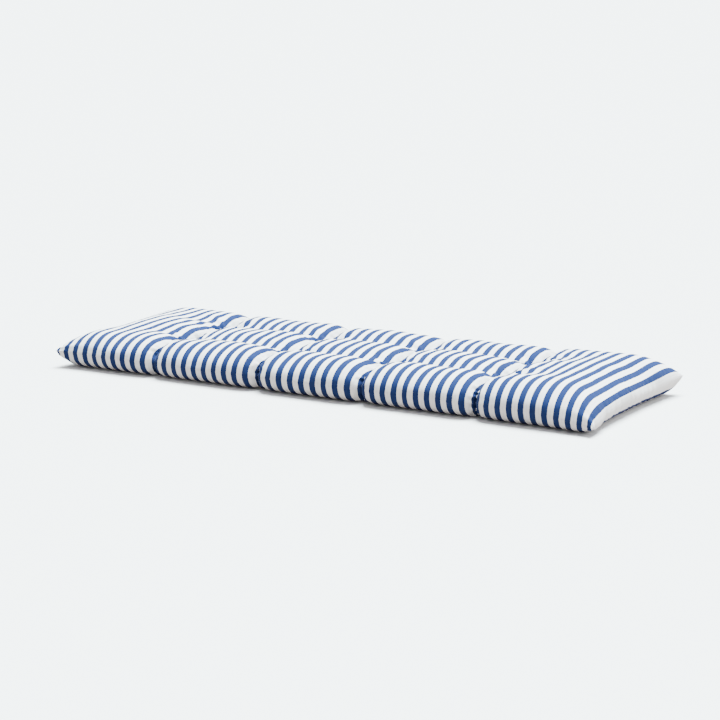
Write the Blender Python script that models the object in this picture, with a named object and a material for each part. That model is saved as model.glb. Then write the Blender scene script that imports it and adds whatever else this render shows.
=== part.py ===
"""Bench cushion: one filled solid with five panels along its length and three rows of pillows across it.

Metres, +Z up. X runs along the length, Y from the front edge to the rear edge. The origin is the middle
of the underside, on the surface that the cushion lies on.
"""

import math

import bmesh
import bpy

# Driving sizes
LENGTH = 1.26  # corner tip to corner tip, along X
DEPTH = 0.44  # corner tip to corner tip, along Y
CROWN_HEIGHT = 0.086  # top of the fullest pillow
SEAM_HEIGHT = 0.033  # the rim seam, where top and underside meet
EDGE_REACH = 0.072  # from the rim seam in to where the top is at its full height
END_REACH = 0.090  # the same at the two short ends
BELLY_REACH = 0.042  # from the rim seam in to the rectangle where the underside lies flat

# How far the rim is drawn in between the corner tips
SIDE_DRAW = 0.006
END_DRAW = 0.012
TIP_SPREAD = 0.035  # how fast a corner tip blends into the drawn-in sides
DRAW_POWER = 3  # how near the rim the drawing-in starts: the middle of the cloth stays put

# The rectangle that the cushion rests on
REST_LENGTH = LENGTH - 2 * (END_DRAW + BELLY_REACH)
REST_DEPTH = DEPTH - 2 * (SIDE_DRAW + BELLY_REACH)

# Tufts: where each line crosses the length, and how deep the rim is pinched in at its two ends
TUFT_LINES = (
    {"x": -0.385, "front": 0.030, "rear": 0.022},
    {"x": -0.128, "front": 0.034, "rear": 0.020},
    {"x": 0.117, "front": 0.032, "rear": 0.022},
    {"x": 0.369, "front": 0.034, "rear": 0.024},
)
TUFT_ROWS = (-0.073, 0.073)  # the two tufts on each line
TUFT_PULL = 0.36  # share of the loft lost at a tuft itself
TUFT_WIDTH = 0.030  # how far a tuft's dimple spreads
LINE_VALLEY = 0.42  # share of the loft lost in the crease between two tufts of a line
LINE_WIDTH = 0.016
ROW_VALLEY = 0.20  # share of the loft lost in the softer valley between two rows
ROW_WIDTH = 0.028
ROW_FADE = 0.070  # how far a row's valley runs on into an end panel
PINCH_WIDTH = 0.016

# Fullness of each pillow, against the fullest: front row, middle row, rear row
PANELS = (
    {"front": 0.90, "middle": 0.93, "rear": 0.95},
    {"front": 0.91, "middle": 0.92, "rear": 0.94},
    {"front": 0.90, "middle": 0.93, "rear": 0.95},
    {"front": 0.92, "middle": 0.93, "rear": 0.95},
    {"front": 0.95, "middle": 0.98, "rear": 1.00},
)

# Height of the rim seam at each corner tip; the front right one has settled
CORNER_HEIGHTS = {(-1, -1): 0.036, (1, -1): 0.020, (-1, 1): 0.034, (1, 1): 0.038}
CORNER_SPREAD = 0.09

# How widely a pillow's own fullness counts, along X and along Y
PILLOW_SPREAD_X = 0.13
PILLOW_SPREAD_Y = 0.08

COLUMNS_PER_PANEL = 18
ROWS_PER_PILLOW = 10
BELLY_RINGS = 6
CROWDING = 0.6  # 0 spaces the grid evenly, 1 crowds it most towards the creases

CLOTH_COLOUR = (0.42, 0.50, 0.66, 1.0)
CLOTH_ROUGHNESS = 0.9


def clear_scene():
    for old in list(bpy.data.objects):
        bpy.data.objects.remove(old, do_unlink=True)


def line_xs():
    return [line["x"] for line in TUFT_LINES]


def along(stops, share, per_span):
    """The place at this share (0 to 1) of a run between stops, with points crowded towards every stop."""
    spans = len(stops) - 1
    step = share * spans
    index = min(int(step + 0.5 / per_span), spans - 1)
    inside = min(max(step - index, 0.0), 1.0)
    eased = (1 - math.cos(math.pi * inside)) / 2
    inside += CROWDING * (eased - inside)
    return stops[index] + (stops[index + 1] - stops[index]) * inside


def ridge(distance, width):
    """1 on a crease, falling away to both sides as a cloth does from a taut stitch."""
    return math.exp(-abs(distance) / width)


def round_off(inset, reach):
    """0 on the rim and 1 from the reach inwards, on a quarter circle."""
    share = min(max(inset / reach, 0.0), 1.0)
    return math.sqrt(1 - (1 - share) ** 2)


def tip(x):
    return ridge(LENGTH / 2 - abs(x), TIP_SPREAD)


def half_depth(x, side):
    """Y of the rim, without its sign: full at the tips, drawn in between, pinched at every tuft line."""
    out = DEPTH / 2 - SIDE_DRAW * (1 - tip(x))
    key = "front" if side < 0 else "rear"
    for line in TUFT_LINES:
        out -= line[key] * ridge(x - line["x"], PINCH_WIDTH)
    return out


def half_length(y):
    """X of the rim, without its sign."""
    return LENGTH / 2 - END_DRAW * (1 - (2 * y / DEPTH) ** 2)


def seam_height(x, y):
    """The rim's height: its usual one, going over to each corner's own."""
    height = SEAM_HEIGHT
    for (end, side), corner in CORNER_HEIGHTS.items():
        away = math.hypot(x - end * LENGTH / 2, y - side * DEPTH / 2)
        height += (corner - SEAM_HEIGHT) * math.exp(-((away / CORNER_SPREAD) ** 2))
    return height


def fullness(x, y):
    """Blend of the pillows' own fullness, so that none ends in a step."""
    total = 0.0
    weights = 0.0
    stops = [-LENGTH / 2, *line_xs(), LENGTH / 2]
    for index, panel in enumerate(PANELS):
        middle_x = (stops[index] + stops[index + 1]) / 2
        for key, middle_y in (("front", -DEPTH / 3), ("middle", 0.0), ("rear", DEPTH / 3)):
            away = math.hypot((x - middle_x) / PILLOW_SPREAD_X, (y - middle_y) / PILLOW_SPREAD_Y)
            weight = math.exp(-(away**2))
            total += weight * panel[key]
            weights += weight
    return total / weights


def loft_lost(x, y):
    """Share of the loft that tufts and creases take away, each on what the others leave."""
    first, last = line_xs()[0], line_xs()[-1]
    left = 1.0
    for line in TUFT_LINES:
        left *= 1 - LINE_VALLEY * ridge(x - line["x"], LINE_WIDTH)
        for row in TUFT_ROWS:
            away = math.hypot(x - line["x"], y - row)
            left *= 1 - TUFT_PULL * ridge(away, TUFT_WIDTH)
    beyond = max(first - x, x - last, 0.0)
    for row in TUFT_ROWS:
        left *= 1 - ROW_VALLEY * ridge(beyond, ROW_FADE) * math.exp(-(((y - row) / ROW_WIDTH) ** 2))
    return 1 - left


def plan(x, y):
    """The grid's even rectangle, drawn in to the rim's real outline. Gives the point and its insets."""
    side = -1 if y < 0 else 1
    edge_x = half_length(y)
    edge_y = half_depth(x, side)
    share_x = (2 * abs(x) / LENGTH) ** DRAW_POWER
    share_y = (2 * abs(y) / DEPTH) ** DRAW_POWER
    new_x = x * (1 + share_x * (2 * edge_x / LENGTH - 1))
    new_y = y * (1 + share_y * (2 * edge_y / DEPTH - 1))
    return new_x, new_y, edge_x - abs(new_x), edge_y - abs(new_y)


def top_point(x, y):
    new_x, new_y, inset_x, inset_y = plan(x, y)
    seam = seam_height(new_x, new_y)
    loft = (CROWN_HEIGHT * fullness(x, y) - seam) * (1 - loft_lost(x, y))
    shape = round_off(inset_x, END_REACH) * round_off(inset_y, EDGE_REACH)
    return new_x, new_y, seam + loft * shape


def belly_point(x, y, turn):
    """On the quarter curve from the rim (turn 0) down to the rectangle that the cushion rests on (turn 1)."""
    rim_x, rim_y, seam = top_point(x, y)
    inwards = 1 - math.cos(turn * math.pi / 2)
    rest_x = x * REST_LENGTH / LENGTH
    rest_y = y * REST_DEPTH / DEPTH
    new_x = rim_x + (rest_x - rim_x) * inwards
    new_y = rim_y + (rest_y - rim_y) * inwards
    return new_x, new_y, seam * (1 - math.sin(turn * math.pi / 2))


def add_tray(mesh):
    """The cushion's net before shaping: a flat top at Z = 0 and, below its outline, rings down to Z = -1."""
    stops_x = [-LENGTH / 2, *line_xs(), LENGTH / 2]
    stops_y = [-DEPTH / 2, *TUFT_ROWS, DEPTH / 2]
    made = bmesh.ops.create_grid(
        mesh,
        x_segments=COLUMNS_PER_PANEL * (len(stops_x) - 1),
        y_segments=ROWS_PER_PILLOW * (len(stops_y) - 1),
        size=0.5,
    )
    for vert in made["verts"]:
        vert.co.x = along(stops_x, vert.co.x + 0.5, COLUMNS_PER_PANEL)
        vert.co.y = along(stops_y, vert.co.y + 0.5, ROWS_PER_PILLOW)
    rim = [edge for edge in mesh.edges if edge.is_boundary]
    for ring in range(1, BELLY_RINGS + 1):
        extruded = bmesh.ops.extrude_edge_only(mesh, edges=rim)["geom"]
        rim = [item for item in extruded if isinstance(item, bmesh.types.BMEdge) and item.is_boundary]
        for vert in {vert for edge in rim for vert in edge.verts}:
            vert.co.z = -ring / BELLY_RINGS
    bmesh.ops.holes_fill(mesh, edges=rim)


def make_cushion():
    mesh = bmesh.new()
    add_tray(mesh)
    for vert in mesh.verts:
        x, y, z = vert.co
        vert.co = belly_point(x, y, -z) if z < 0 else top_point(x, y)
    bmesh.ops.recalc_face_normals(mesh, faces=mesh.faces)
    data = bpy.data.meshes.new("cushion")
    mesh.to_mesh(data)
    mesh.free()
    data.shade_smooth()
    data.set_sharp_from_angle(angle=math.radians(50))
    return bpy.data.objects.new("cushion", data)


def cloth_material():
    material = bpy.data.materials.new("striped_cloth")
    material.use_nodes = True
    shader = material.node_tree.nodes["Principled BSDF"]
    shader.inputs["Base Color"].default_value = CLOTH_COLOUR
    shader.inputs["Roughness"].default_value = CLOTH_ROUGHNESS
    shader.inputs["Metallic"].default_value = 0.0
    return material


def main():
    clear_scene()
    collection = bpy.data.collections.new("bench_cushion")
    bpy.context.scene.collection.children.link(collection)
    cushion = make_cushion()
    cushion.data.materials.append(cloth_material())
    collection.objects.link(cushion)


main()
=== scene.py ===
import math

import bpy
import numpy as np
from mathutils import Matrix, Vector


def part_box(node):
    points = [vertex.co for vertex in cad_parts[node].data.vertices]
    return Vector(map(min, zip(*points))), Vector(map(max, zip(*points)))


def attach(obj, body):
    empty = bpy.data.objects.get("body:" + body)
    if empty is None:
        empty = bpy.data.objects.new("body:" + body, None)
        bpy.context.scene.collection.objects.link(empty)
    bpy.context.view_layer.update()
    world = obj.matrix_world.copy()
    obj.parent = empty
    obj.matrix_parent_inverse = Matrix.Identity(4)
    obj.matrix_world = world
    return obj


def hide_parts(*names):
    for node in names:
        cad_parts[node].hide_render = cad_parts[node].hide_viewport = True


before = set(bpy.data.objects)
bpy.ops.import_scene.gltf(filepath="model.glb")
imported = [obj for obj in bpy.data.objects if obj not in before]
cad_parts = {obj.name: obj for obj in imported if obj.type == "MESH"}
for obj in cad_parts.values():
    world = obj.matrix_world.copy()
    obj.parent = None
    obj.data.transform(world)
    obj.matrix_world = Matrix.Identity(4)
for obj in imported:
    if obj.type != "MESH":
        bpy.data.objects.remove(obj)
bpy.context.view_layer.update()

boxLow, boxHigh = (np.array(corner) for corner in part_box("cushion"))
length, depth = (boxHigh - boxLow)[:2]
print("frame loaded: cushion", np.round(boxHigh - boxLow, 3))


def meshFrom(name, points, faces):
    # an object at the origin from points and the corner numbers of its faces
    mesh = bpy.data.meshes.new(name)
    mesh.from_pydata(points.tolist(), [], faces.tolist())
    mesh.update()
    piece = bpy.data.objects.new(name, mesh)
    bpy.context.scene.collection.objects.link(piece)
    return piece


def makeSquare(name, halfWidth, height):
    # a level square around the middle, its corners halfWidth from it each way
    turns = np.array([[-1, -1], [1, -1], [1, 1], [-1, 1]])
    corners = np.concatenate([halfWidth * turns, np.full((4, 1), height)], axis=1)
    return meshFrom(name, corners, np.array([[0, 1, 2, 3]]))


def pointsOf(mesh):
    # the mesh's points as rows of x, y, z
    points = np.empty(len(mesh.vertices) * 3, np.float32)
    mesh.vertices.foreach_get("co", points)
    return points.reshape(-1, 3).astype(float)


def cornersOf(mesh):
    # the point that each face corner sits on
    corners = np.empty(len(mesh.loops), np.int32)
    mesh.loops.foreach_get("vertex_index", corners)
    return corners


def nodeKit(material):
    # short helpers to add nodes to a material and join them
    tree = material.node_tree

    def wire(value, socket):
        # a link from a socket, or a plain value
        if isinstance(value, bpy.types.NodeSocket):
            tree.links.new(value, socket)
        else:
            socket.default_value = value

    def sums(operation, *values):
        # one arithmetic step, such as a + b or |a|
        node = tree.nodes.new("ShaderNodeMath")
        node.operation = operation
        for value, socket in zip(values, node.inputs):
            wire(value, socket)
        return node.outputs[0]

    def mixColour(factor, first, second):
        # first * (1 - factor) + second * factor. sockets 6, 7 and 2 are the ones for colours
        node = tree.nodes.new("ShaderNodeMix")
        node.data_type = "RGBA"
        wire(factor, node.inputs["Factor"])
        wire(first, node.inputs[6])
        wire(second, node.inputs[7])
        return node.outputs[2]

    return tree, wire, sums, mixColour


# the striped cloth, off the roll. lengths are in metres
cloth = {
    "stripeCount": 54,          # blue stripes from end to end
    "repeat": 0.0249,           # from one to the next
    "blueWidth": 0.0127,
    "leftMargin": 0.003,        # off-white before the first
    "rightMargin": 0.014,       # and after the last
    "blue": (0.0108, 0.0245, 0.0980, 1.0),
    "paleBlue": (0.022, 0.046, 0.146, 1.0),     # the blue warp with some off-white weft in it
    "white": (0.860, 0.855, 0.860),
    "threadPitch": 0.0008,      # from one thread to the next
    "threadHeight": 0.00012,
    "threadBump": 0.6,
    "fray": 0.0003,             # how far a stripe's edge wanders from thread to thread,
    "frayLength": 0.004,        # and over what length along and across the cloth
    "frayStep": 0.0012,
    "centreLine": 0.0009,       # the faint grey line down the middle of each off-white stripe
    "centreShade": 0.90,
    "blueSpeck": 0.20,          # how much the off-white weft shows in the blue
    "blueTone": 0.10,           # how uneven the dye is
    "whiteTone": 0.02,
    "toneBump": 0.3,
    "slub": 0.03,               # length of a thicker or darker stretch of thread
    "slowTone": 0.05,           # size of a paler or darker patch
    "roughness": 0.88,
    "roughnessSpread": 0.04,
    "shine": 0.08,
    "fuzz": 0.03,               # pale down that shows where the cloth turns away
    "fuzzRoughness": 0.5,
}


def stripedCloth():
    # stripes by length along the cut cloth. a plain weave: a thread's height is |sin(pi * length / pitch)|,
    # and the warp lies on top where the two thread numbers add up to an odd one. the colour varies from
    # thread to thread and slowly as well
    material = bpy.data.materials.new("stripedCloth")
    material.use_nodes = True
    tree, wire, sums, mixColour = nodeKit(material)
    shader = tree.nodes["Principled BSDF"]
    cut = tree.nodes.new("ShaderNodeUVMap")
    cut.uv_map = "cut"
    parts = tree.nodes.new("ShaderNodeSeparateXYZ")
    wire(cut.outputs[0], parts.inputs[0])
    along, across = parts.outputs[0], parts.outputs[1]

    def noise(sizeAlong, sizeAcross, detail):
        # -1 to 1, in patches of that size on the cloth
        spots = tree.nodes.new("ShaderNodeCombineXYZ")
        wire(sums("MULTIPLY", along, 1 / sizeAlong), spots.inputs[0])
        wire(sums("MULTIPLY", across, 1 / sizeAcross), spots.inputs[1])
        node = tree.nodes.new("ShaderNodeTexNoise")
        node.noise_dimensions = "2D"
        node.inputs["Scale"].default_value = 1
        node.inputs["Detail"].default_value = detail
        wire(spots.outputs[0], node.inputs["Vector"])
        return sums("SUBTRACT", sums("MULTIPLY", node.outputs[0], 2), 1)

    def shaded(colour, factor):
        # colour * factor
        node = tree.nodes.new("ShaderNodeVectorMath")
        node.operation = "SCALE"
        wire(colour, node.inputs[0])
        wire(factor, node.inputs["Scale"])
        return node.outputs[0]

    # which stripe, and how far into it
    pitch = cloth["threadPitch"]
    wander = sums("MULTIPLY", noise(cloth["frayLength"], cloth["frayStep"], detail=1), cloth["fray"])
    fromFirst = sums("SUBTRACT", sums("ADD", along, wander), cloth["leftMargin"])
    place = sums("DIVIDE", fromFirst, cloth["repeat"])
    phase = sums("MULTIPLY", sums("FRACT", place), cloth["repeat"])
    inBlue = sums("LESS_THAN", phase, cloth["blueWidth"])
    blue = sums("MULTIPLY", inBlue, sums("LESS_THAN", place, cloth["stripeCount"]))
    whiteMiddle = (cloth["repeat"] + cloth["blueWidth"]) / 2
    fromMiddle = sums("ABSOLUTE", sums("SUBTRACT", phase, whiteMiddle))
    centre = sums("LESS_THAN", fromMiddle, cloth["centreLine"] / 2)

    # the weave
    warpRound = sums("ABSOLUTE", sums("SINE", sums("MULTIPLY", along, math.pi / pitch)))
    weftRound = sums("ABSOLUTE", sums("SINE", sums("MULTIPLY", across, math.pi / pitch)))
    warpNumber = sums("FLOOR", sums("DIVIDE", along, pitch))
    weftNumber = sums("FLOOR", sums("DIVIDE", across, pitch))
    half = sums("MULTIPLY", sums("ADD", warpNumber, weftNumber), 0.5)
    over = sums("GREATER_THAN", sums("FRACT", half), 0.25)      # half of an odd sum ends in .5
    under = sums("SUBTRACT", 1, over)
    weave = sums("ADD", sums("MULTIPLY", over, warpRound), sums("MULTIPLY", under, weftRound))

    # the colours
    warpTone = noise(pitch, cloth["slub"], detail=0)
    weftTone = noise(cloth["slub"], pitch, detail=0)
    slowTone = noise(cloth["slowTone"], cloth["slowTone"], detail=3)
    tone = sums("ADD", sums("ADD", warpTone, weftTone), slowTone)
    blueTone = sums("ADD", sums("MULTIPLY", tone, cloth["blueTone"]), 1)
    whiteTone = sums("ADD", sums("MULTIPLY", tone, cloth["whiteTone"]), 1)
    speck = sums("MULTIPLY", under, cloth["blueSpeck"])
    blueCloth = shaded(mixColour(speck, cloth["blue"], cloth["paleBlue"]), blueTone)
    whiteShade = sums("SUBTRACT", whiteTone, sums("MULTIPLY", centre, 1 - cloth["centreShade"]))
    whiteCloth = shaded(cloth["white"], whiteShade)
    wire(mixColour(blue, whiteCloth, blueCloth), shader.inputs["Base Color"])

    bump = tree.nodes.new("ShaderNodeBump")
    bump.inputs["Strength"].default_value = cloth["threadBump"]
    bump.inputs["Distance"].default_value = cloth["threadHeight"]
    wire(sums("ADD", weave, sums("MULTIPLY", tone, cloth["toneBump"])), bump.inputs["Height"])
    wire(bump.outputs[0], shader.inputs["Normal"])
    roughness = sums("ADD", sums("MULTIPLY", slowTone, cloth["roughnessSpread"]), cloth["roughness"])
    wire(roughness, shader.inputs["Roughness"])
    shader.inputs["Specular IOR Level"].default_value = cloth["shine"]
    shader.inputs["Sheen Weight"].default_value = cloth["fuzz"]
    shader.inputs["Sheen Roughness"].default_value = cloth["fuzzRoughness"]
    return material


# the cover: two panels of that cloth, sewn together at the rim, tufted right through and filled.
# lengths are in metres
cover = {
    "clothDepth": 0.500,        # one panel as cut; its length comes from the stripes
    "lines": (0.194, 0.398, 0.593, 0.793),      # tuft lines, as shares of the length
    "lineStripes": (11.19, 22.19, 32.19, 43.19),    # the blue stripe that each one falls just behind
    "rows": (0.334, 0.666),     # the tufts on them, as shares of the depth

    # the net that is filled
    "columnsPerPanel": 36,
    "rowsPerBand": 22,
    "crowding": 0.62,           # how much it closes up at the tuft lines

    # its outline
    "frontPinch": (0.008, 0.010, 0.007, 0.009),     # how far the rim is drawn in at each line
    "rearPinch": (0.008, 0.007, 0.008, 0.009),
    "pinchWidth": 0.013,
    "sideDraw": 0.006,          # how far the long sides lie in from the corners' tips,
    "endDraw": 0.012,           # and the ends
    "sideDrawReach": 0.035,     # how soon the long sides leave the tips
    "drawPower": 3,             # how little the middle of the net is drawn in with its sides
    "seamHeight": 0.033,
    "cornerHeights": {(-1, -1): 0.036, (1, -1): 0.018, (-1, 1): 0.034, (1, 1): 0.038},
    "cornerReach": 0.09,

    # its height
    "crown": 0.080,             # before the filling swells it
    "fullness": (               # share of it, from the left pillow to the right one: front, middle, rear
        (0.965, 0.990, 1.000),
        (0.970, 0.975, 0.990),
        (0.960, 0.980, 1.000),
        (0.980, 0.985, 1.000),
        (1.010, 1.035, 1.065),
    ),
    "pillowLength": 0.12,       # how far each of those shares counts
    "pillowDepth": 0.08,
    "endRound": 0.09,           # how far in the top rises from the ends,
    "sideRound": 0.072,         # and from the long sides
    "underRound": 0.042,        # how far in the underside turns up
    "tuftTop": 0.046,
    "tuftDepth": 0.40,          # share of the height that a tuft takes away,
    "tuftWidth": 0.028,
    "lineDepth": 0.36,          # that a tuft line takes away,
    "lineWidth": 0.014,
    "rowDepth": 0.30,           # and that a row of tufts takes away
    "rowWidth": 0.026,
    "rowReach": 0.05,           # how far the rows run on past the outer tufts

    # the filling
    "frames": 24,               # how long it is pressed out
    "pressure": 5.0,
    "middleShare": 0.22,        # share of it in the middle of a pillow: the wadding is packed at the creases
    "packedWidth": 0.022,
    "endShare": 0.35,           # and share of that at the two ends
    "endWidth": 0.13,
    "gap": 0.0015,              # the net starts this far over the table, and is lowered at the end
    "travel": 0.022,            # no point moves further than this
    "tableHalfWidth": 1.0,
    "touch": 0.001,             # how near the net comes to the table
    "quality": 5,               # steps in each frame
    "mass": 0.3,                # of one point of the net, in kilograms
    "tension": 25.0,
    "shear": 6.0,
    "bending": 0.4,
    "wallGap": 0.0003,          # how near two pillows come at a tuft line

    # folds at the tuft lines
    "frontFold": (0.026, 0.028, 0.025, 0.027),      # how much deeper each tuft line cuts into the front,
    "rearFold": (0.028, 0.026, 0.026, 0.028),       # into the rear,
    "topFold": (0.020, 0.019, 0.019, 0.020),        # and into the top
    "clothShare": 0.5,          # share of that depth that takes up cloth: the rest is stretched, out of sight
    "foldWidth": 0.008,
    "foldReach": 0.050,
    "nip": 0.62,                # how much the folds close up, and over what width
    "nipWidth": 0.012,
    "rowBlends": 120,           # how often each row of the cloth takes on some of its neighbours' stretch

    # ripples
    "gatherHeight": 0.0042,     # folds that run out from every tuft
    "gatherReach": 0.020,
    "gatherFolds": (5, 7, 11),  # how many, as three waves around it,
    "gatherShares": (0.25, 0.5),    # and the least and most that each wave counts
    "gatherSeed": 31,
    "puckerHeight": 0.0032,     # ripples that the seam draws up
    "puckerLength": 0.010,
    "puckerChange": 0.09,       # they grow and fade over this length,
    "puckerVary": 0.4,          # by this share
    "puckerReach": 0.018,       # from the two long sides,
    "endReach": 0.040,          # and from the two ends
    "puckerSeeds": (21, 22),
    "changeSeeds": (26, 27),
    "crinkleHeight": 0.0042,    # small crinkles that run out of every fold
    "crinkleLength": 0.009,
    "crinkleReach": 0.012,
    "crinkleSlant": 0.2,
    "crinkleSeeds": (51, 52, 53, 54),
    "seamRidge": 0.0007,        # the turned-in allowance shows as a low ridge at the seam
    "seamRidgeWidth": 0.003,
    "lumpHeight": 0.0022,       # wadding that isn't quite even
    "lumpSize": 0.055,
    "lumpSeed": 11,
}


def spread(stops, count, crowding):
    # a run of points between stops, count to each span, eased towards every stop by (1 - cos(pi * share)) / 2
    share = np.arange(count * (len(stops) - 1) + 1) / count
    span = np.minimum(share.astype(int), len(stops) - 2)
    inside = share - span
    eased = (1 - np.cos(np.pi * inside)) / 2
    return span + inside + crowding * (eased - inside)


def ridge(distance, width):
    # 1 on the line and e^(-distance / width) away from it, a taut crease
    return np.exp(-np.abs(distance) / width)


def swell(distance, width):
    # 1 on the line and e^-(distance / width)^2 away from it, a soft hump
    return np.exp(-((distance / width) ** 2))


def quarterRound(inset, reach):
    # height of a quarter circle: 0 at the rim, 1 from the reach inwards
    share = np.clip(inset / reach, 0, 1)
    return np.sqrt(1 - (1 - share) ** 2)


def layOut():
    # x and y of every net point on the finished outline, closing up at the tuft lines and rows
    lineX = (np.array([0, *cover["lines"], 1]) - 0.5) * length
    rowY = (np.array([0, *cover["rows"], 1]) - 0.5) * depth
    columnAt = spread(lineX, cover["columnsPerPanel"], cover["crowding"])
    rowAt = spread(rowY, cover["rowsPerBand"], cover["crowding"])
    x = np.interp(columnAt, range(len(lineX)), lineX)
    y = np.interp(rowAt, range(len(rowY)), rowY)
    return *np.meshgrid(x, y, indexing="ij"), lineX[1:-1], rowY[1:-1]


def lineOnCloth():
    # how far along the cut cloth the left end, each tuft line and the right end lie
    firstBlue = cloth["leftMargin"] + cloth["blueWidth"] / 2
    lineAt = [firstBlue + (number - 1) * cloth["repeat"] for number in cover["lineStripes"]]
    lastBlue = firstBlue + (cloth["stripeCount"] - 1) * cloth["repeat"]
    return np.array([0, *lineAt, lastBlue + cloth["blueWidth"] / 2 + cloth["rightMargin"]])


def alongCloth(formed):
    # every row's length along the cloth, evenly stretched between two tuft lines. each row's steps become
    # (before + 2 * own + after) / 4 many times over, so that the stripes run straight on from row to row
    steps = np.linalg.norm(np.diff(formed, axis=0), axis=2)
    for _ in range(cover["rowBlends"]):
        padded = np.pad(steps, ((0, 0), (1, 1)), mode="edge")
        steps = (padded[:, :-2] + 2 * padded[:, 1:-1] + padded[:, 2:]) / 4
    run = np.concatenate([np.zeros((1, steps.shape[1])), np.cumsum(steps, axis=0)])
    columns = cover["columnsPerPanel"]
    lineAt = lineOnCloth()
    panel = np.minimum(np.arange(len(run)) // columns, len(lineAt) - 2)
    start, stop = run[panel * columns], run[(panel + 1) * columns]
    first, last = lineAt[panel][:, None], lineAt[panel + 1][:, None]
    return first + (run - start) / (stop - start) * (last - first)


def flatCloth(formed):
    # where each net point lies on the cut cloth, taken as the average over the rows and over the columns
    clothX = alongCloth(formed).mean(axis=1)
    stepY = np.linalg.norm(np.diff(formed, axis=1), axis=2).mean(axis=0)
    runY = np.concatenate([[0], np.cumsum(stepY)])
    clothY = runY * cover["clothDepth"] / runY[-1]
    return np.stack([*np.meshgrid(clothX, clothY, indexing="ij"), 0 * formed[..., 0]], -1)


def outlineOf(x, y, lineX):
    # how far out the rim lies. long sides: half the depth less the side draw and a ridge at every line.
    # ends: half the length less the end draw, a parabola between the tips
    fromTip = length / 2 - np.abs(x)
    outY = depth / 2 - cover["sideDraw"] * (1 - ridge(fromTip, cover["sideDrawReach"]))
    for line, front, rear in zip(lineX, cover["frontPinch"], cover["rearPinch"]):
        outY = outY - np.where(y < 0, front, rear) * ridge(x - line, cover["pinchWidth"])
    outX = length / 2 - cover["endDraw"] * (1 - (2 * y / depth) ** 2)
    return outX, outY


def seamHeightAt(x, y):
    # the seam's height, moved towards each corner's own height by a soft hump around its tip
    seam = cover["seamHeight"] + 0 * x
    for (end, side), corner in cover["cornerHeights"].items():
        away = np.hypot(x - end * length / 2, y - side * depth / 2)
        seam = seam + (corner - cover["seamHeight"]) * swell(away, cover["cornerReach"])
    return seam


def heightLeft(x, y, lineX, rowY):
    # share of the height that is left: 1 less a ridge at each tuft line, at each tuft and along each row
    left = 1 + 0 * x
    for line in lineX:
        left = left * (1 - cover["lineDepth"] * ridge(x - line, cover["lineWidth"]))
        for row in rowY:
            left = left * (1 - cover["tuftDepth"] * ridge(np.hypot(x - line, y - row), cover["tuftWidth"]))
    beyond = np.maximum(np.maximum(lineX[0] - x, x - lineX[-1]), 0)
    for row in rowY:
        taken = cover["rowDepth"] * ridge(beyond, cover["rowReach"]) * swell(y - row, cover["rowWidth"])
        left = left * (1 - taken)
    return left


def crownAt(x, y):
    # the crown's height: the pillows' fullness, averaged with a soft hump around each one's middle
    ends = (np.array([0, *cover["lines"], 1]) - 0.5) * length
    middleX = (ends[:-1] + ends[1:]) / 2
    full = np.zeros(x.shape)
    counts = np.zeros(x.shape)
    for middle, shares in zip(middleX, cover["fullness"]):
        for across, share in zip((-depth / 3, 0, depth / 3), shares):
            weight = swell(x - middle, cover["pillowLength"]) * swell(y - across, cover["pillowDepth"])
            full += weight * share
            counts += weight
    return cover["crown"] * full / counts


def filledForm(x, y, lineX, rowY):
    # a point is drawn in with its side by (its share of the way out) ^ power. top: the seam's height plus
    # a loft that rises on a quarter round from every side and sinks at tufts and creases. underside: flat,
    # and turned up to the seam on a quarter round
    outX, outY = outlineOf(x, y, lineX)
    power = cover["drawPower"]
    newX = x * (1 + np.abs(2 * x / length) ** power * (2 * outX / length - 1))
    newY = y * (1 + np.abs(2 * y / depth) ** power * (2 * outY / depth - 1))
    insetX = outX - np.abs(newX)
    insetY = outY - np.abs(newY)
    seam = seamHeightAt(newX, newY)
    loft = (crownAt(x, y) - seam) * heightLeft(x, y, lineX, rowY)
    top = seam + loft * quarterRound(insetX, cover["endRound"]) * quarterRound(insetY, cover["sideRound"])
    reach = cover["underRound"]
    under = seam * (1 - quarterRound(insetX, reach) * quarterRound(insetY, reach))
    return np.stack([newX, newY, top], -1), np.stack([newX, newY, np.maximum(under, 0)], -1)


def sewPanels(topPoints, underPoints):
    # both panels as one net: the underside uses the top's rim points. gives points and the two index grids
    topIndex = np.arange(topPoints.shape[0] * topPoints.shape[1]).reshape(topPoints.shape[:2])
    inner = np.zeros(topIndex.shape, bool)
    inner[1:-1, 1:-1] = True
    underIndex = topIndex.copy()
    underIndex[inner] = topIndex.size + np.arange(inner.sum())
    points = np.concatenate([topPoints.reshape(-1, 3), underPoints[inner]])
    return points, topIndex, underIndex


def quadsOf(index):
    # the four corners of every cell of an index grid, in turning order
    return np.stack([index[:-1, :-1], index[1:, :-1], index[1:, 1:], index[:-1, 1:]], -1).reshape(-1, 4)


def heldPoints(topIndex, underIndex):
    # what the threads hold: the rim at every line, each tuft with its four neighbours, and the four tips
    columns, rows = cover["columnsPerPanel"], cover["rowsPerBand"]
    held = [topIndex[0, 0], topIndex[-1, 0], topIndex[0, -1], topIndex[-1, -1]]
    for line in range(1, len(cover["lines"]) + 1):
        at = line * columns
        held += [topIndex[at, 0], topIndex[at, -1]]
        for row in (rows, 2 * rows):
            for index in (topIndex, underIndex):
                held += [index[at, row], index[at - 1, row], index[at + 1, row]]
                held += [index[at, row - 1], index[at, row + 1]]
    return np.array(held).tolist()


def packedShare(points, lineX):
    # how hard the filling presses: all of it at a tuft line, less in the middle of a pillow and at the ends
    nearLine = np.max([ridge(points[:, 0] - line, cover["packedWidth"]) for line in lineX], axis=0)
    share = cover["middleShare"] + (1 - cover["middleShare"]) * nearLine
    fromEnd = length / 2 - np.abs(points[:, 0])
    return share * (1 - (1 - cover["endShare"]) * swell(fromEnd, cover["endWidth"]))


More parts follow.
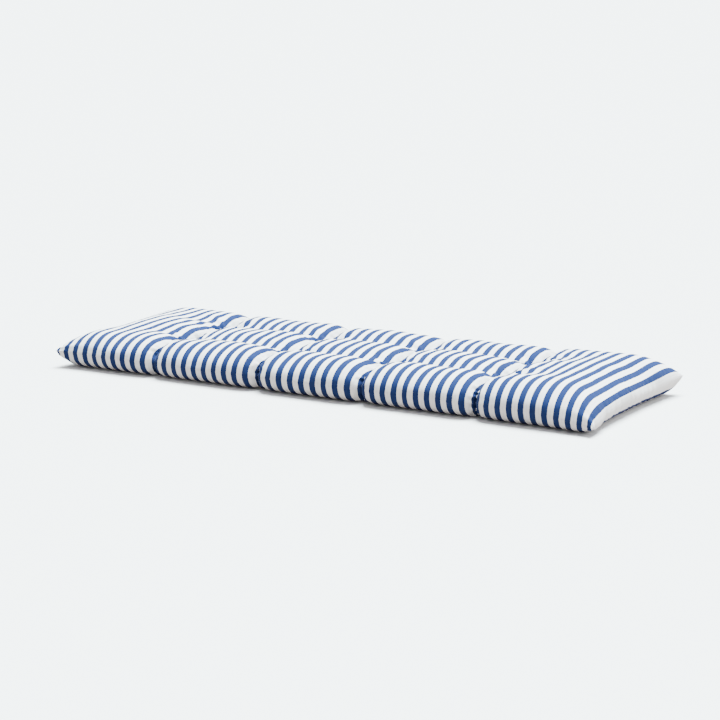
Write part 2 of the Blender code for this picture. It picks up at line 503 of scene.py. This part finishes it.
def fillCover(points, flat, faces, held, share):
    # presses the cover out from inside, with its threads' lengths taken from the flat cloth. a point's
    # move is cut to the travel, and the whole is lowered by the gap
    start = points + np.array([0, 0, cover["gap"]])
    net = meshFrom("coverNet", start, faces)
    net.shape_key_add(name="start")
    flatKey = net.shape_key_add(name="flat")
    flatKey.data.foreach_set("co", flat.astype(np.float32).ravel())
    flatKey.value = 0.0
    net.vertex_groups.new(name="held").add(held, 1.0, "REPLACE")
    pressed = net.vertex_groups.new(name="pressed")
    steps = np.round(share, 2)
    for step in np.unique(steps):
        pressed.add(np.flatnonzero(steps == step).tolist(), float(step), "REPLACE")
    table = makeSquare("table", cover["tableHalfWidth"], 0.0)
    table.modifiers.new("stop", "COLLISION")
    table.collision.thickness_outer = cover["touch"]
    modifier = net.modifiers.new("cloth", "CLOTH")
    settings = modifier.settings
    settings.quality = cover["quality"]
    settings.mass = cover["mass"]
    settings.tension_stiffness = settings.compression_stiffness = cover["tension"]
    settings.shear_stiffness = cover["shear"]
    settings.bending_stiffness = cover["bending"]
    settings.use_pressure = True
    settings.uniform_pressure_force = cover["pressure"]
    settings.vertex_group_pressure = "pressed"
    settings.vertex_group_mass = "held"
    settings.rest_shape_key = flatKey
    settings.effector_weights.gravity = 0
    modifier.collision_settings.distance_min = cover["touch"]
    modifier.collision_settings.use_self_collision = False
    modifier.point_cache.frame_start = 1
    modifier.point_cache.frame_end = cover["frames"]
    for frameNumber in range(1, cover["frames"] + 1):
        bpy.context.scene.frame_set(frameNumber)
    graph = bpy.context.evaluated_depsgraph_get()
    filled = pointsOf(net.evaluated_get(graph).to_mesh())
    bpy.data.objects.remove(net)
    bpy.data.objects.remove(table)
    bpy.context.scene.frame_set(1)
    move = filled - start
    far = np.linalg.norm(move, axis=1, keepdims=True)
    filled = start + move * (cover["travel"] / np.maximum(far, cover["travel"]))
    filled[:, 2] = np.maximum(filled[:, 2] - cover["gap"], 0)
    return filled


def keepApart(points, indexes, lineX):
    # x is held between the two tuft lines of its own pillow, so that neighbours don't run into each other
    columns = cover["columnsPerPanel"]
    column = np.arange(len(indexes[0]))
    walls = np.array([-length, *lineX, length])
    panel = np.minimum(column // columns, len(walls) - 2)[:, None]
    low, high = walls[panel] + cover["wallGap"], walls[panel + 1] - cover["wallGap"]
    onLine = (column % columns == 0)[:, None]
    for index in indexes:
        kept = points[index, 0]
        points[index, 0] = np.where(onLine, kept, np.clip(kept, low, high))
    return points


def sinkFolds(points, side, lineX, share):
    # cuts each tuft line deeper by share * e^(-distance / width): inwards at the front and the rear and
    # downwards on top, and then draws both of its sides together by nip * distance * e^(-distance / width)
    points = points.copy()
    fromFront, fromRear = points[:, 1] + depth / 2, depth / 2 - points[:, 1]
    atFront, atRear = (swell(inset, cover["foldReach"]) for inset in (fromFront, fromRear))
    onTop = np.clip(side, 0, 1) * (1 - atFront) * (1 - atRear)
    for line, front, rear, top in zip(lineX, cover["frontFold"], cover["rearFold"], cover["topFold"]):
        away = points[:, 0] - line
        near = share * ridge(away, cover["foldWidth"])
        points[:, 1] += near * (front * atFront - rear * atRear)
        points[:, 2] -= near * top * onTop
        points[:, 0] -= cover["nip"] * away * ridge(away, cover["nipWidth"])
    return points


def softNoise(u, v, size, seed):
    # random heights from -1 to 1 on a square lattice, eased smoothly from corner to corner
    cells = 128
    table = np.random.default_rng(seed).uniform(-1, 1, (cells, cells))
    column, row = np.floor(u / size).astype(int), np.floor(v / size).astype(int)
    shareU, shareV = u / size - column, v / size - row
    easeU, easeV = shareU ** 2 * (3 - 2 * shareU), shareV ** 2 * (3 - 2 * shareV)
    corner = [[table[(column + i) % cells, (row + j) % cells] for j in (0, 1)] for i in (0, 1)]
    near = corner[0][0] * (1 - easeV) + corner[0][1] * easeV
    far = corner[1][0] * (1 - easeV) + corner[1][1] * easeV
    return near * (1 - easeU) + far * easeU


def seamRipples(u, v, size):
    # ripples along the seam that die away from it as e^(-distance / reach), and the seam's own low ridge
    height = 0
    toEnd, toEdge = np.minimum(u, size[0] - u), np.minimum(v, size[1] - v)
    sides = ((u, toEdge, cover["puckerReach"]), (v, toEnd, cover["endReach"]))
    vary = cover["puckerVary"]
    for (along, away, reach), seed, changeSeed in zip(sides, cover["puckerSeeds"], cover["changeSeeds"]):
        ripple = softNoise(along, 0 * along, cover["puckerLength"], seed)
        change = softNoise(along, 0 * along, cover["puckerChange"], changeSeed)
        ripple = ripple * (1 - vary + vary * change)
        height = height + cover["puckerHeight"] * ripple * np.exp(-away / reach)
        height = height + cover["seamRidge"] * swell(away, cover["seamRidgeWidth"])
    return height


def foldCrinkles(x, v, lineX):
    # noise along each fold that dies away from it as e^(-distance / reach)
    height = 0
    for line, seed in zip(lineX, cover["crinkleSeeds"]):
        away = np.abs(x - line)
        crinkle = softNoise(v + cover["crinkleSlant"] * away, away, cover["crinkleLength"], seed)
        height = height + cover["crinkleHeight"] * crinkle * np.exp(-away / cover["crinkleReach"])
    return height


def tuftGathers(x, y, lineX, rowY):
    # folds that run out from each tuft as cosines of the angle around it. their height is
    # distance / reach * e^(1 - distance / reach), most at the reach
    height = 0
    shape = np.random.default_rng(cover["gatherSeed"])
    for line in lineX:
        for row in rowY:
            distance, angle = np.hypot(x - line, y - row), np.arctan2(y - row, x - line)
            folds = 0
            for count in cover["gatherFolds"]:
                wave = np.cos(count * angle + shape.uniform(0, 2 * np.pi))
                folds = folds + wave * shape.uniform(*cover["gatherShares"])
            rise = distance / cover["gatherReach"] * np.exp(1 - distance / cover["gatherReach"])
            height = height + cover["gatherHeight"] * folds * rise
    return height


def rippleNet(mesh, lineX, rowY, size):
    # moves each point out along its normal by lumps and gathers on top, and by ripples and crinkles all over
    points = pointsOf(mesh)
    normals = np.empty(len(points) * 3, np.float32)
    mesh.vertex_normals.foreach_get("vector", normals)
    spots = np.empty(len(mesh.loops) * 2, np.float32)
    mesh.uv_layers["cut"].data.foreach_get("uv", spots)
    onCloth = np.zeros((len(points), 2))
    onCloth[cornersOf(mesh)] = spots.reshape(-1, 2)
    side = np.empty(len(points), np.float32)
    mesh.attributes["side"].data.foreach_get("value", side)
    x, y = points[:, 0], points[:, 1]
    u, v = onCloth.T
    onTop = np.clip(side, 0, 1)
    lumps = cover["lumpHeight"] * softNoise(u, v, cover["lumpSize"], cover["lumpSeed"])
    onlyOnTop = lumps + tuftGathers(x, y, lineX, rowY)
    height = onTop * onlyOnTop + seamRipples(u, v, size) + foldCrinkles(x, v, lineX)
    points = points + height[:, None] * normals.reshape(-1, 3)
    points[:, 2] = np.maximum(points[:, 2], 0)
    mesh.vertices.foreach_set("co", points.astype(np.float32).ravel())
    mesh.update()


def markCloth(mesh, topIndex, underIndex, alongTop, acrossCloth, y):
    # the map "cut": length along and across the cloth, in metres. the underside takes the top's length at
    # the front and the rear rim, mixed by the share of the depth, so that the stripes meet at the seam
    fromFront = (y - y[:, :1]) / (y[:, -1:] - y[:, :1])
    alongUnder = alongTop[:, :1] * (1 - fromFront) + alongTop[:, -1:] * fromFront
    corners = cornersOf(mesh)
    half = len(corners) // 2
    spots = np.zeros((len(corners), 2), np.float32)
    panels = ((topIndex, alongTop, slice(0, half)), (underIndex, alongUnder, slice(half, None)))
    for index, along, part in panels:
        onCloth = np.zeros((len(mesh.vertices), 2))
        onCloth[index] = np.stack([along, acrossCloth], -1)
        spots[part] = onCloth[corners[part]]
    mesh.uv_layers.new(name="cut").data.foreach_set("uv", spots.ravel())


def makeCover():
    # the filled form, pressed out by its filling, folded at the tuft lines, made finer and rippled
    x, y, lineX, rowY = layOut()
    topPoints, underPoints = filledForm(x, y, lineX, rowY)
    columns, rows = cover["columnsPerPanel"], cover["rowsPerBand"]
    topPoints[columns:-1:columns, [rows, 2 * rows], 2] = cover["tuftTop"]
    points, topIndex, underIndex = sewPanels(topPoints, underPoints)
    flatGrid = flatCloth(topPoints)
    flat = sewPanels(flatGrid, flatGrid)[0]
    faces = np.concatenate([quadsOf(topIndex), quadsOf(underIndex)[:, ::-1]])
    held = heldPoints(topIndex, underIndex)
    points = fillCover(points, flat, faces, held, packedShare(points, lineX))
    print("cover filled")
    points = keepApart(points, (topIndex, underIndex), lineX)

    # 1 on top, -1 underneath, 0 at the rim
    sides = np.full(len(points), -1, np.float32)
    sides[topIndex] = 1
    sides[topIndex[[0, -1]]] = 0
    sides[topIndex[:, [0, -1]]] = 0
    alongTop = alongCloth(sinkFolds(points, sides, lineX, cover["clothShare"])[topIndex])
    points = sinkFolds(points, sides, lineX, 1)

    piece = meshFrom("cushionCover", points, faces)
    markCloth(piece.data, topIndex, underIndex, alongTop, flatGrid[..., 1], y)
    piece.data.attributes.new("side", "FLOAT", "POINT").data.foreach_set("value", sides)
    finer = piece.modifiers.new("finer", "SUBSURF")
    finer.levels = finer.render_levels = 1
    graph = bpy.context.evaluated_depsgraph_get()
    piece.data = bpy.data.meshes.new_from_object(piece.evaluated_get(graph))
    piece.modifiers.clear()
    rippleNet(piece.data, lineX, rowY, flat.max(axis=0)[:2])
    piece.data.shade_smooth()
    return piece


room = {
    "floor": (0.88, 0.88, 0.88, 1.0),
    "floorBounce": (0.29, 0.25, 0.23, 1.0),     # what it gives back, so that the front keeps its shade
    "floorHalfWidth": 60.0,
    "floorDrop": 0.0003,        # under the cushion, so that the two faces don't meet
    "floorRoughness": 0.9,
    "floorShine": 0.2,
    "sky": (0.88, 0.89, 0.95, 1.0),
    "skyStrength": 0.62,
    "lamps": (                  # where from, how strong, how wide in degrees, as big soft boxes are, and tint
        ((0.00, 0.30, 0.95), 20.5, 40, (0.90, 1.03, 1.05)),
        ((0.85, 0.10, 0.50), 2.2, 70, (1.0, 1.0, 1.0)),
    ),
}


def makeFloor():
    # a wide pale square just under the cushion, which gives back as little light as a darker one
    floor = makeSquare("floor", room["floorHalfWidth"], boxLow[2] - room["floorDrop"])
    material = bpy.data.materials.new("paleFloor")
    material.use_nodes = True
    tree, wire, sums, mixColour = nodeKit(material)
    shader = tree.nodes["Principled BSDF"]
    seen = tree.nodes.new("ShaderNodeLightPath").outputs["Is Camera Ray"]
    wire(mixColour(seen, room["floorBounce"], room["floor"]), shader.inputs["Base Color"])
    shader.inputs["Roughness"].default_value = room["floorRoughness"]
    shader.inputs["Specular IOR Level"].default_value = room["floorShine"]
    floor.data.materials.append(material)


def makeLight():
    # an even sky, and one wide sun for each lamp, turned to shine from where it stands to the middle
    world = bpy.data.worlds.new("softSky")
    world.use_nodes = True
    background = world.node_tree.nodes["Background"]
    background.inputs["Color"].default_value = room["sky"]
    background.inputs["Strength"].default_value = room["skyStrength"]
    bpy.context.scene.world = world
    for number, (comesFrom, strength, width, tint) in enumerate(room["lamps"], 1):
        lamp = bpy.data.lights.new(f"softLamp{number}", "SUN")
        lamp.energy = strength
        lamp.color = tint
        lamp.angle = math.radians(width)
        holder = bpy.data.objects.new(lamp.name, lamp)
        bpy.context.scene.collection.objects.link(holder)
        holder.matrix_world = Vector(comesFrom).to_track_quat("Z", "Y").to_matrix().to_4x4()


camera = {
    "azimuth": 30.7,            # from straight in front, towards the right end
    "elevation": 11.6,
    "distance": 4.36,
    "frameShare": 0.90,         # share of the frame's width that the cushion takes
    "sensorWidth": 36,
}


def makeCamera():
    # looks at the middle of the box from the azimuth and elevation, with the lens that fills the frame:
    # share * sensor / 2 / the widest slope from the axis to a corner of the box
    turn, rise = math.radians(camera["azimuth"]), math.radians(camera["elevation"])
    back = Vector((math.sin(turn) * math.cos(rise), -math.cos(turn) * math.cos(rise), math.sin(rise)))
    middle = Vector((boxLow + boxHigh) / 2)
    view = bpy.data.cameras.new("camera")
    holder = bpy.data.objects.new("camera", view)
    bpy.context.scene.collection.objects.link(holder)
    facing = back.to_track_quat("Z", "Y").to_matrix().to_4x4()
    holder.matrix_world = Matrix.Translation(middle + camera["distance"] * back) @ facing
    inverse = holder.matrix_world.inverted()
    widest = 0
    for x in (boxLow[0], boxHigh[0]):
        for y in (boxLow[1], boxHigh[1]):
            seen = inverse @ Vector((x, y, middle.z))
            widest = max(widest, abs(seen.x / seen.z))
    view.sensor_width = camera["sensorWidth"]
    view.lens = camera["frameShare"] * view.sensor_width / 2 / widest
    bpy.context.scene.camera = holder


makeFloor()
makeLight()
makeCamera()
print("stage set")

cushion = makeCover()
cushion.data.materials.append(stripedCloth())
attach(cushion, "root")
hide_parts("cushion")
print("cushion made")
